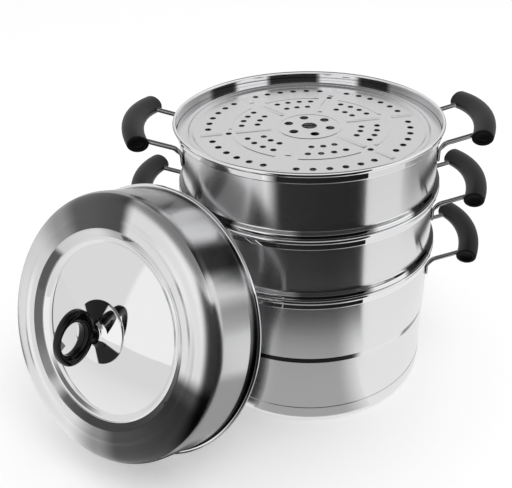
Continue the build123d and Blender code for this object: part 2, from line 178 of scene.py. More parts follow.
def sheet_faces(points, bends, thickness: float, steps: int = 8) -> tuple[np.ndarray, np.ndarray]:
    """Both faces of a bent sheet whose metal lies left of the points.

    The far face is the near one moved by the thickness along each line's left, and its corners are
    where the moved lines cross. A bend's radius holds on its inside, and grows by the thickness on
    its outside.

    Args:
        points: Corners of the near face, as rows of radius and height.
        bends: Inside radius of each bend.
        thickness: Thickness of the sheet.
        steps: Number of pieces that a bend is cut into.

    Returns:
        The rounded near face and the rounded far face, both in the points' order.
    """
    corners = np.asarray(points, float)
    runs = unit(np.diff(corners, axis=0))
    lefts = np.stack([-runs[:, 1], runs[:, 0]], axis=1)
    before, after = lefts[:-1], lefts[1:]
    mitres = (before + after) * thickness / (1 + (before * after).sum(axis=1, keepdims=True))
    far = corners + np.concatenate([lefts[:1] * thickness, mitres, lefts[-1:] * thickness])
    inside = np.asarray(bends, float)
    turns_left = before[:, 0] * after[:, 1] - before[:, 1] * after[:, 0] > 0
    near_bends = np.where(turns_left, inside + thickness, inside)
    far_bends = np.where(turns_left, inside, inside + thickness)
    return rounded(corners, near_bends, steps), rounded(far, far_bends, steps)


def split_at(outline: np.ndarray, height: float) -> np.ndarray:
    """Add a point to an outline where it first rises past a height."""
    index = int(np.argmax(outline[:, 1] > height))
    before, after = outline[index - 1], outline[index]
    share = (height - before[1]) / (after[1] - before[1])
    return np.insert(outline, index, before + share * (after - before), axis=0)


def oval(size: tuple[float, float], middle: tuple[float, float], ends: tuple[float, float], steps: int):
    """Points of an oval: middle plus half the size times the cosine and the sine.

    Args:
        size: Width and height.
        middle: Centre of the oval.
        ends: First and last angle in degrees.
        steps: Number of pieces.

    Returns:
        The points, one row each.
    """
    angle = np.radians(np.linspace(*ends, steps + 1))
    return np.array(middle) + np.array(size) / 2 * np.stack([np.cos(angle), np.sin(angle)], axis=1)


def carried(spine: np.ndarray, *reaches: tuple[np.ndarray, np.ndarray]) -> np.ndarray:
    """Surface of a section that is carried along a spine.

    Args:
        spine: Points of the spine, one row each.
        reaches: Reach of the section by point and angle, with its direction, for each of its axes.

    Returns:
        A grid of points, one row for each point of the spine.
    """
    return spine[:, None] + sum(reach[..., None] * direction[:, None] for reach, direction in reaches)


@dataclass(frozen=True)
class Frame:
    """Place and directions of a turned or carried shape, in millimetres."""

    origin: np.ndarray
    x: np.ndarray
    y: np.ndarray
    z: np.ndarray

    @classmethod
    def upright(cls) -> "Frame":
        """Frame of the whole object, with Z up."""
        return cls(np.zeros(3), *np.eye(3))

    def rows(self) -> np.ndarray:
        """The three directions, one row each."""
        return np.stack([self.x, self.y, self.z])

    def place(self, local: np.ndarray) -> np.ndarray:
        """Points given in this frame, as points of the whole object."""
        return self.origin + local @ self.rows()

    def turn(self, outline: np.ndarray, turns: int = 180) -> np.ndarray:
        """Surface of an outline turned about this frame's Z.

        A point at angle t is radius times (cos t, sin t) across the axis, and its height along it.

        Args:
            outline: Rows of radius and height.
            turns: Number of pieces around.

        Returns:
            A grid of points, one row for each angle.
        """
        angle = np.linspace(0, 2 * pi, turns, endpoint=False)[:, None]
        radius, height = outline[None, :, 0], outline[None, :, 1]
        local = [radius * np.cos(angle), radius * np.sin(angle), height + 0 * angle]
        return self.place(np.stack(local, axis=-1))


def add_object(name: str, data) -> Object:
    """Add an object with this data to the scene."""
    added = bpy.data.objects.new(name, data)
    bpy.context.scene.collection.objects.link(added)
    return added


def smooth_mesh(mesh: Mesh, sharp: float, weld: float, outwards: bool) -> None:
    """Join a mesh's coinciding points and shade it smooth.

    Args:
        mesh: The mesh.
        sharp: Angle in degrees past which an edge is shaded sharp.
        weld: Distance in metres within which points are joined.
        outwards: Whether the faces are turned outwards too.
    """
    shape = bmesh.new()
    shape.from_mesh(mesh)
    bmesh.ops.remove_doubles(shape, verts=shape.verts, dist=weld)
    if outwards:
        bmesh.ops.recalc_face_normals(shape, faces=shape.faces)
    shape.to_mesh(mesh)
    shape.free()
    if mesh.has_custom_normals:
        mesh.normals_split_custom_set([(0.0, 0.0, 0.0)] * len(mesh.loops))
    mesh.shade_smooth()
    mesh.set_sharp_from_angle(angle=radians(sharp))


def mesh_piece(name: str, grid: np.ndarray, close_rows: bool, close_columns: bool, sharp: float = 38.0):
    """Make an object of a grid of points.

    Neighbouring points of the grid make one four-sided face, points that coincide at a pole or a
    seam become one, and the faces are turned outwards. The map runs once across the grid.

    Args:
        name: Name of the piece.
        grid: Points in millimetres, by row and column.
        close_rows: Whether the last row joins the first.
        close_columns: Whether the last column joins the first.
        sharp: Angle in degrees past which an edge is shaded sharp.

    Returns:
        The object, at the origin, with its shape in metres.
    """
    rows, columns = grid.shape[:2]
    index = np.arange(rows * columns).reshape(rows, columns)
    index = np.pad(index, ((0, int(close_rows)), (0, int(close_columns))), mode="wrap")
    high, wide = index.shape
    place = np.stack(np.meshgrid(np.arange(high) / rows, np.arange(wide) / columns, indexing="ij"), axis=-1)
    quads, chart = (
        np.stack([part[:-1, :-1], part[1:, :-1], part[1:, 1:], part[:-1, 1:]], axis=2)
        for part in (index, place)
    )
    mesh = bpy.data.meshes.new(name)
    mesh.from_pydata((grid.reshape(-1, 3) * MM).tolist(), [], quads.reshape(-1, 4).tolist())
    mesh.uv_layers.new(name=MAP_NAME).uv.foreach_set("vector", chart.ravel().astype(np.float32))
    smooth_mesh(mesh, sharp, 1e-7, True)
    return add_object(name, mesh)


def face_rows(piece: Object, label: str) -> np.ndarray:
    """A vector of each face of a piece, by its name in Blender, one row each."""
    faces = piece.data.polygons
    rows = np.empty(len(faces) * 3, np.float32)
    faces.foreach_get(label, rows)
    return rows.reshape(-1, 3)


def face_middles(piece: Object) -> np.ndarray:
    """Middle of each face of a piece, in millimetres, one row each."""
    return face_rows(piece, "center") / MM


def outward_share(piece: Object) -> np.ndarray:
    """Share of each face's normal that points away from the stack's axis."""
    spokes = face_rows(piece, "center")[:, :2]
    lengths = np.maximum(np.linalg.norm(spokes, axis=1), 1e-6)
    return (face_rows(piece, "normal")[:, :2] * spokes).sum(axis=1) / lengths


@dataclass(frozen=True)
class Duty:
    """CAD node that a piece stands for, the body it rides on and its material slot in the record."""

    node: str
    body: str
    slot: str

    def give(self, piece: Object, finishes: dict[str, Material], names: tuple, choice=None) -> None:
        """Dress a piece, let it ride in the place of the node, and log it.

        Args:
            piece: The finished piece.
            finishes: The object's materials by name.
            names: Names of the materials of the piece's slots.
            choice: Slot of each face, or None where all faces take the first.
        """
        faces = piece.data.polygons
        piece.data.materials.clear()
        for name in names:
            piece.data.materials.append(finishes[name])
        if choice is not None:
            faces.foreach_set("material_index", choice.astype(np.int32))
        piece.data.update()
        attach(piece, self.body)
        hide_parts(self.node)
        LOG.info("%s stands for %s on %s with %d faces", piece.name, self.node, self.body, len(faces))


def dress_node(node: str, material: Material) -> None:
    """Give a kept CAD node its material."""
    piece = bpy.data.objects[node]
    piece.data.materials.clear()
    piece.data.materials.append(material)
    LOG.info("%s keeps its CAD shape in %s", node, material.name)


# Finishes


def fill(tree: NodeTree, node: Node, values: dict) -> None:
    """Set each input of a node to a value, or link it where the value is a socket."""
    for label, value in values.items():
        if isinstance(value, NodeSocket):
            tree.links.new(value, node.inputs[label])
        else:
            node.inputs[label].default_value = value


def new_node(tree: NodeTree, kind: str, values: dict | None = None, **settings) -> Node:
    """Add a shader node.

    Args:
        tree: Tree that gets the node.
        kind: Type of the node, after ShaderNode.
        values: Value or socket of each input, by its name or number.
        settings: Properties of the node.

    Returns:
        The node.
    """
    node = tree.nodes.new(f"ShaderNode{kind}")
    for name, setting in settings.items():
        setattr(node, name, setting)
    fill(tree, node, values or {})
    return node


def math_node(tree: NodeTree, operation: str, *values) -> NodeSocket:
    """Output of a Math node whose inputs are sockets or numbers."""
    return new_node(tree, "Math", dict(enumerate(values)), operation=operation).outputs[0]


def vector_node(tree: NodeTree, operation: str, *values):
    """Outputs of a Vector Math node whose inputs are sockets or vectors."""
    return new_node(tree, "VectorMath", dict(enumerate(values)), operation=operation).outputs


def noise_node(tree: NodeTree, vector, scale, detail: float) -> NodeSocket:
    """Factor of a Noise texture on a vector, with its scale as a socket or a number."""
    return new_node(tree, "TexNoise", {"Vector": vector, "Scale": scale, "Detail": detail}).outputs["Fac"]


def mix_node(tree: NodeTree, factor, first, second, **settings) -> NodeSocket:
    """Output of a Mix node, of numbers unless the settings say otherwise."""
    return new_node(tree, "Mix", {"Factor": factor, "A": first, "B": second}, **settings).outputs["Result"]


def texture_group(name: str, detail: float, slow_scale: float, lines_show: bool) -> NodeTree:
    """Fine lines or grain of a surface, and the slow changes along it.

    Depth times the lines is the height of a bump. The slow changes, with the lines where they show,
    move the tone and the roughness, each by its own amount.

    Args:
        name: Name of the group.
        detail: Detail of the lines.
        slow_scale: Scale of the slow changes.
        lines_show: Whether the lines move the tone and the roughness too.

    Returns:
        The group, with outputs Tone, Roughness and Normal.
    """
    tree = bpy.data.node_groups.new(name, "ShaderNodeTree")
    sockets = {
        ("INPUT", "Vector"): ("Lines", "Place"),
        ("INPUT", "Float"): ("Fineness", "Depth", "Roughness", "Spread", "Fading"),
        ("OUTPUT", "Float"): ("Tone", "Roughness"),
        ("OUTPUT", "Vector"): ("Normal",),
    }
    for (way, kind), labels in sockets.items():
        for label in labels:
            tree.interface.new_socket(label, in_out=way, socket_type=f"NodeSocket{kind}")
    given = tree.nodes.new("NodeGroupInput").outputs
    lines = noise_node(tree, given["Lines"], given["Fineness"], detail)
    change = math_node(tree, "SUBTRACT", noise_node(tree, given["Place"], slow_scale, 2.0), 0.5)
    if lines_show:
        change = math_node(tree, "ADD", math_node(tree, "SUBTRACT", lines, 0.5), change)
    bump = new_node(tree, "Bump", {"Distance": BUMP_HEIGHT, "Strength": given["Depth"], "Height": lines})
    results = {
        "Tone": math_node(tree, "MULTIPLY_ADD", change, given["Fading"], 1.0),
        "Roughness": math_node(tree, "MULTIPLY_ADD", change, given["Spread"], given["Roughness"]),
        "Normal": bump.outputs["Normal"],
    }
    fill(tree, tree.nodes.new("NodeGroupOutput"), results)
    return tree


def map_share(tree: NodeTree, axis: str) -> NodeSocket:
    """Share of the way across the map that every piece has, along one of its axes."""
    chart = new_node(tree, "UVMap", uv_map=MAP_NAME).outputs["UV"]
    return new_node(tree, "SeparateXYZ", {"Vector": chart}).outputs[axis]


def map_range(tree: NodeTree, value, bounds: tuple, kind: str = "SMOOTHSTEP"):
    """Value carried from the first two bounds to the last two."""
    labels = ("From Min", "From Max", "To Min", "To Max")
    values = {"Value": value, **dict(zip(labels, bounds))}
    return new_node(tree, "MapRange", values, interpolation_type=kind).outputs["Result"]


def tone_ramp(tree: NodeTree, value: NodeSocket, tones) -> NodeSocket:
    """Grey ramp over a value.

    Args:
        tree: Tree that gets the ramp.
        value: Output with the value.
        tones: Position and brightness of each stop, in order.

    Returns:
        Output with the grey.
    """
    ramp = new_node(tree, "ValToRGB", {"Fac": value})
    ramp.color_ramp.interpolation = "EASE"
    stops = ramp.color_ramp.elements
    while len(stops) < len(tones):
        stops.new(1.0)
    for stop, (place, tone) in zip(stops, tones):
        stop.position = place
        stop.color = (tone, tone, tone, 1.0)
    return ramp.outputs["Color"]


def start_material(name: str) -> tuple[Material, NodeTree, Node]:
    """New material, its tree and its Principled shader."""
    material = bpy.data.materials.new(name)
    material.use_nodes = True
    return material, material.node_tree, material.node_tree.nodes["Principled BSDF"]


@dataclass(frozen=True)
class Finish:
    """Finish of bare steel, or of moulded resin where it isn't metallic.

    The painted sheen is a painted reflection: light and dark bands multiplied into the colour round a face,
    as tones at shares of the way round.
    Turn and shift take a piece's place to where the axis of its lines is Z.
    """

    name: str
    color: tuple[float, float, float] = (0.82, 0.82, 0.83)
    roughness: float = 0.22
    spread: float = 0.05
    fading: float = 0.05
    depth: float = 0.015
    fineness: float = 900.0
    anisotropy: float = 0.0
    anisotropy_turn: float = 0.25
    metallic: float = 1.0
    specular: float = 0.5
    lines: Lines = Lines.ROUND
    shift: tuple[float, float, float] = (0.0, 0.0, 0.0)
    turn: tuple[float, float, float] = (0.0, 0.0, 0.0)
    painted_sheen: tuple[tuple[float, float], ...] = ()

    def material(self, brushing: NodeTree, grain: NodeTree) -> Material:
        """Build the material.

        Args:
            brushing: Group that draws the lines of steel.
            grain: Group that draws the grain of resin.

        Returns:
            The material.
        """
        material, tree, shader = start_material(self.name)
        place = new_node(tree, "TexCoord").outputs["Object"]
        values = {
            "Lines": self.lines_place(tree, place),
            "Place": place,
            "Fineness": self.fineness,
            "Depth": self.depth,
            "Roughness": self.roughness,
            "Spread": self.spread,
            "Fading": self.fading,
        }
        group = grain if self.lines is Lines.GRAIN else brushing
        texture = new_node(tree, "Group", node_tree=group)
        fill(tree, texture, values)
        look = {
            "Base Color": self.colored(tree, texture.outputs["Tone"]),
            "Roughness": texture.outputs["Roughness"],
            "Normal": texture.outputs["Normal"],
            "Metallic": self.metallic,
            "Specular IOR Level": self.specular,
        }
        if self.anisotropy:
            around = new_node(tree, "Tangent", direction_type="UV_MAP", uv_map=MAP_NAME)
            look["Tangent"] = around.outputs["Tangent"]
            look["Anisotropic"] = self.anisotropy
            look["Anisotropic Rotation"] = self.anisotropy_turn
        fill(tree, shader, look)
        return material

    def lines_place(self, tree: NodeTree, place: NodeSocket) -> NodeSocket:
        """Vector that the lines are drawn on.

        For lines round an axis it is the distance from that axis and the height along it, so each
        line is a circle.

        Args:
            tree: The material's tree.
            place: Output with the place on the piece.

        Returns:
            Output with the vector.
        """
        if self.lines is not Lines.ROUND:
            return place
        values = {"Vector": place, "Location": self.shift, "Rotation": self.turn}
        upright = new_node(tree, "Mapping", values).outputs["Vector"]
        level = vector_node(tree, "MULTIPLY", upright, (1.0, 1.0, 0.0))["Vector"]
        height = new_node(tree, "SeparateXYZ", {"Vector": upright}).outputs["Z"]
        both = {"X": vector_node(tree, "LENGTH", level)["Value"], "Y": height}
        return new_node(tree, "CombineXYZ", both).outputs["Vector"]

    def colored(self, tree: NodeTree, tone: NodeSocket):
        """Colour of the shader: for steel, the finish's own times the tone and the painted sheen.

        Args:
            tree: The material's tree.
            tone: Output with the texture's tone.

        Returns:
            Output with the colour, or the plain colour of resin.
        """
        color = (*self.color, 1.0)
        if self.lines is Lines.GRAIN:
            return color
        tones = [tone]
        if self.painted_sheen:
            tones.append(tone_ramp(tree, map_share(tree, "X"), self.painted_sheen))
        for factor in tones:
            color = mix_node(tree, 1.0, color, factor, data_type="RGBA", blend_type="MULTIPLY")
        return color


def make_finishes(lid: Frame) -> dict[str, Material]:
    """Make every material of the object once.

    Args:
        lid: Frame of the lid, whose axis the lid's lines run round.

    Returns:
        The materials by name.
    """
    on_lid = {
        "turn": tuple(Matrix(lid.rows().tolist()).to_euler("XYZ")),
        "shift": tuple(-lid.rows() @ lid.origin * MM),
    }
    polished = {"spread": 0.02, "fading": 0.02, "depth": 0.004}
    even = {"lines": Lines.EVEN}
    resin = {"lines": Lines.GRAIN, "metallic": 0.0}
    brushed = {"anisotropy": 0.8}
    finishes = [
        Finish("satin_wall", roughness=0.2, depth=0.02, **brushed),
        Finish("satin_base", roughness=0.2, depth=0.02, **brushed),
        # The sheen tables paint bands of reflection into the colour of the step, collar, flange, lid zones
        # and knob plate.
        Finish("polished_step", roughness=0.08, depth=0.01, painted_sheen=STEP_PAINTED_SHEEN),
        Finish("polished_rim", (0.88, 0.88, 0.89), 0.045, **polished),
        Finish("polished_collar", (0.97, 0.97, 0.98), 0.07, painted_sheen=COLLAR_PAINTED_SHEEN, **polished),
        Finish("polished_flange", (0.92, 0.92, 0.93), 0.07, painted_sheen=FLANGE_PAINTED_SHEEN, **polished),
        # Near-black finish: a painted dark reflection on the near sides of the plate's holes and ridges.
        Finish("ridge_side", (0.02, 0.02, 0.02), 0.24, 0.05, 0.04, **even),
        Finish("satin_plate", (0.78, 0.78, 0.79), 0.24, 0.05, 0.04, fineness=500.0, **even),
        Finish("plain_aluminium", (0.86, 0.87, 0.88), 0.35, 0.1, 0.1, **even),
        Finish("plain_steel", (0.72, 0.72, 0.73), 0.28, 0.1, 0.06, **even),
        # Wire colour darkened as a painted dark reflection, standing in for the dark surroundings that the
        # polished wire mirrors.
        Finish("polished_wire", (0.32, 0.32, 0.325), 0.08, 0.04, 0.04, 0.01, **even),
        Finish("satin_skirt", painted_sheen=SKIRT_PAINTED_SHEEN, **brushed, **on_lid),
        Finish("satin_foot", painted_sheen=FOOT_PAINTED_SHEEN, **brushed, **on_lid),
        Finish("brushed_ring", (0.9, 0.9, 0.91), 0.26, painted_sheen=RING_PAINTED_SHEEN, **brushed, **on_lid),
        Finish("polished_recess", (0.9, 0.9, 0.91), 0.06, painted_sheen=RECESS_PAINTED_SHEEN, **polished, **on_lid),
        Finish("mirror_dome", (0.88, 0.88, 0.89), 0.025, 0.01, 0.02, 0.001, **on_lid),
        # The knob plate's chrome has black and white bands of painted reflection round the lid's axis.
        Finish("knob_chrome", (0.92, 0.92, 0.93), 0.02, 0.01, 0.01, 0.001, painted_sheen=CHROME_PAINTED_SHEEN, **on_lid),
        Finish("black_grip", (0.003, 0.003, 0.0032), 0.4, 0.08, 0.0, 0.08, 1500.0, specular=0.22, **resin),
        Finish("glossy_knob", (0.002, 0.002, 0.0022), 0.06, 0.02, 0.0, 0.01, 500.0, specular=0.25, **resin),
    ]
    brushing = texture_group("brushing", 3.0, 9.0, True)
    grain = texture_group("grain", 2.0, 40.0, False)
    return {finish.name: finish.material(brushing, grain) for finish in finishes}


# Vessels


@dataclass
class Rim:
    """Ledge, collar and rolled bead that the pot and both tiers share."""

    sheet: float = 0.8
    wall_radius: float = 141.5
    collar_radius: float = 144.0
    rim_radius: float = 147.0
    bead_width: float = 3.8
    bead_height: float = 5.2
    collar_depth: float = 12.0
    shoulder_bend: float = 0.7
    inside_share: float = -0.5

    def closed(self, points: list, bends: list, rim_top: float) -> np.ndarray:
        """Outline of a shell, up its outside, round the rolled bead and down its inside.

        The bead is an oval, drawn from where it leaves the collar's outside to the collar's inside.

        Args:
            points: Corners of the outside below the ledge.
            bends: Bends of those corners but the first.
            rim_top: Height of the top of the bead.

        Returns:
            Rows of radius and height.
        """
        ledge = rim_top - self.collar_depth - self.sheet
        middle = rim_top - self.bead_height / 2
        bead_axis = self.rim_radius - self.bead_width / 2
        across = (self.collar_radius - bead_axis) / (self.bead_width / 2)
        leave = -np.degrees(np.arccos(across))
        junction = middle + self.bead_height / 2 * np.sin(np.radians(leave))
        collar = [(self.collar_radius, ledge), (self.collar_radius, junction)]
        outside = points + [(self.wall_radius, ledge)] + collar
        near, far = sheet_faces(outside, bends + [self.shoulder_bend] * 2, self.sheet)
        bead = oval((self.bead_width, self.bead_height), (bead_axis, middle), (leave, 180.0), 28)
        return np.concatenate([near[:-1], bead, far[::-1]])

    def slots(self, shell: Object, rim_top: float, foot_top: float, band: np.ndarray):
        """Slot of each face of a vessel.

        Args:
            shell: The vessel.
            rim_top: Height of the top of its bead.
            foot_top: Height below which it is polished.
            band: Whether each face is in the band that has its own painted sheen, bands of reflection
                painted into its colour.

        Returns:
            3 in the band, 2 on the collar's inside, 1 on the other polished faces and 0 on the walls.
        """
        heights = face_middles(shell)[:, 2]
        depths = rim_top - heights
        inside = outward_share(shell) < self.inside_share
        collar = inside & (depths < self.collar_depth) & (depths > self.bead_height / 2)
        polished = (depths < self.collar_depth + 2 * self.sheet) | (heights < foot_top)
        return np.select([band, collar, polished], [3, 2, 1], 0)


@dataclass
class Pot:
    """Cooking pot with its capped base."""

    finishes: dict[str, Material]
    rim: Rim = field(default_factory=Rim)
    lower_wall_radius: float = 140.4
    step_height: float = 95.0
    step_rise: float = 4.5
    step_bend: float = 1.6
    step_margin: float = 1.3
    corner: float = 9.0
    cap_sheet: float = 0.6

    def build(self) -> None:
        """Build the body and the base cap, and dress the core."""
        floor, rim_top = (corner.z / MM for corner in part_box("pot_body"))
        points = [
            (0.0, floor),
            (self.lower_wall_radius, floor),
            (self.lower_wall_radius, self.step_height - self.step_rise),
            (self.rim.wall_radius, self.step_height),
        ]
        outline = self.rim.closed(points, [self.corner, self.step_bend, self.step_bend], rim_top)
        low = self.step_height - self.step_rise - self.step_margin
        high = self.step_height + self.step_margin
        outline = split_at(split_at(outline, high), low)
        body = mesh_piece("steel_pot", Frame.upright().turn(outline), True, False)
        heights = face_middles(body)[:, 2]
        choice = self.rim.slots(body, rim_top, floor, (heights > low) & (heights < high))
        # The step band and the collar's inside carry painted sheen: bands of reflection painted into their
        # colour.
        names = ("satin_wall", "polished_rim", "polished_collar", "polished_step")
        Duty("pot_body", "pot", "body_steel").give(body, self.finishes, names, choice)
        self.cap()
        dress_node("base_core", self.finishes["plain_aluminium"])

    def cap(self) -> None:
        """Build the thin steel cap round the base."""
        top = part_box("base_cap")[1].z / MM
        radius = self.lower_wall_radius + self.cap_sheet
        points = [(0.0, 0.0), (radius, 0.0), (radius, top)]
        near, far = sheet_faces(points, [self.corner + self.rim.sheet], self.cap_sheet, 14)
        outline = np.concatenate([near, far[::-1]])
        cap = mesh_piece("steel_base_cap", Frame.upright().turn(outline), True, False)
        Duty("base_cap", "pot", "base_steel").give(cap, self.finishes, ("satin_base",))


@dataclass
class Tier:
    """One steaming tier: spigot, flange, wall, ledge, collar and bead."""

    level: Level
    finishes: dict[str, Material]
    rim: Rim = field(default_factory=Rim)
    spigot_radius: float = 142.7
    spigot_length: float = 7.5
    spigot_bend: float = 0.6
    flange_radius: float = 146.2
    flange_height: float = 5.6
    flange_flare: float = 2.0
    flange_bend: float = 1.8
    outside_share: float = 0.3

    def build(self) -> None:
        """Build the tier's shell."""
        node = self.level.value
        low, high = (corner.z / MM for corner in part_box(node))
        seat = low + self.spigot_length
        wall_foot = seat + self.flange_height + self.flange_flare
        points = [
            (self.spigot_radius, low),
            (self.spigot_radius, seat),
            (self.flange_radius, seat),
            (self.flange_radius, seat + self.flange_height),
            (self.rim.wall_radius, wall_foot),
        ]
        outline = self.rim.closed(points, [self.spigot_bend] + [self.flange_bend] * 3, high)
        shell = mesh_piece(f"steel_{node}", Frame.upright().turn(outline), True, True)
        foot_top = wall_foot + self.rim.sheet
        heights = face_middles(shell)[:, 2]
        outside = outward_share(shell) > self.outside_share
        band = outside & (heights > seat) & (heights < foot_top)
        choice = self.rim.slots(shell, high, foot_top, band)
        # The flange band and the collar's inside carry painted sheen: bands of reflection painted into
        # their colour.
        names = ("satin_wall", "polished_rim", "polished_collar", "polished_flange")
        Duty(node, node, "body_steel").give(shell, self.finishes, names, choice)


@dataclass
class SteamPlate:
    """Perforated plate, a smoothly shaded copy of the CAD node."""

    node: str
    finishes: dict[str, Material]
    sharp: float = 21.0
    weld: float = 1e-6
    pattern_share: float = 0.86
    flat_share: float = 0.998
    top_share: float = 0.999
    steep_share: float = 0.5
    near_share: float = -0.6
    round_share: float = 0.9
    arc_shares: tuple[float, float] = (0.241, 0.602)
    arc_margin: float = 0.014

    def build(self) -> None:
        """Copy the node, join its triangles and shade its ridges round."""
        mesh = bpy.data.objects[self.node].data.copy()
        mesh.name = f"steel_{self.node}"
        smooth_mesh(mesh, self.sharp, self.weld, False)
        piece = add_object(mesh.name, mesh)
        even = piece.modifiers.new("even_flats", "WEIGHTED_NORMAL")
        even.keep_sharp = True
        # The second slot paints a dark reflection on the near sides of the holes and ridges.
        names = ("satin_plate", "ridge_side")
        Duty(self.node, self.node, "plate").give(piece, self.finishes, names, self.shaded(piece))

    def shaded(self, piece: Object) -> np.ndarray:
        """Slot of each face.

        The near sides of the holes and of the round ridges, whose slopes face towards -Y, get a painted
        dark reflection. A face's slope is the level part of its normal, and holes lie below the plate's
        flat top.

        Args:
            piece: The plate.

        Returns:
            True on those near sides, which take the second slot.
        """
        normals, middles = face_rows(piece, "normal"), face_middles(piece)
        rise, level = normals[:, 2], normals[:, :2]
        slope = np.maximum(np.linalg.norm(level, axis=1), 1e-9)
        radius = np.linalg.norm(middles[:, :2], axis=1)
        near = (rise > -self.steep_share) & (rise < self.flat_share)
        near &= level[:, 1] / slope < self.near_share
        top = np.median(middles[rise > self.top_share, 2])
        hole = (rise < self.steep_share) & (middles[:, 2] < top)
        outward = (middles[:, :2] * level).sum(axis=1) / (slope * np.maximum(radius, 1e-9))
        share = radius / radius.max()
        aside = np.abs(share[:, None] - np.array(self.arc_shares)).min(axis=1)
        arc = (outward > self.round_share) & (aside < self.arc_margin)
        return near & (hole | arc) & (share < self.pattern_share)


# Handles


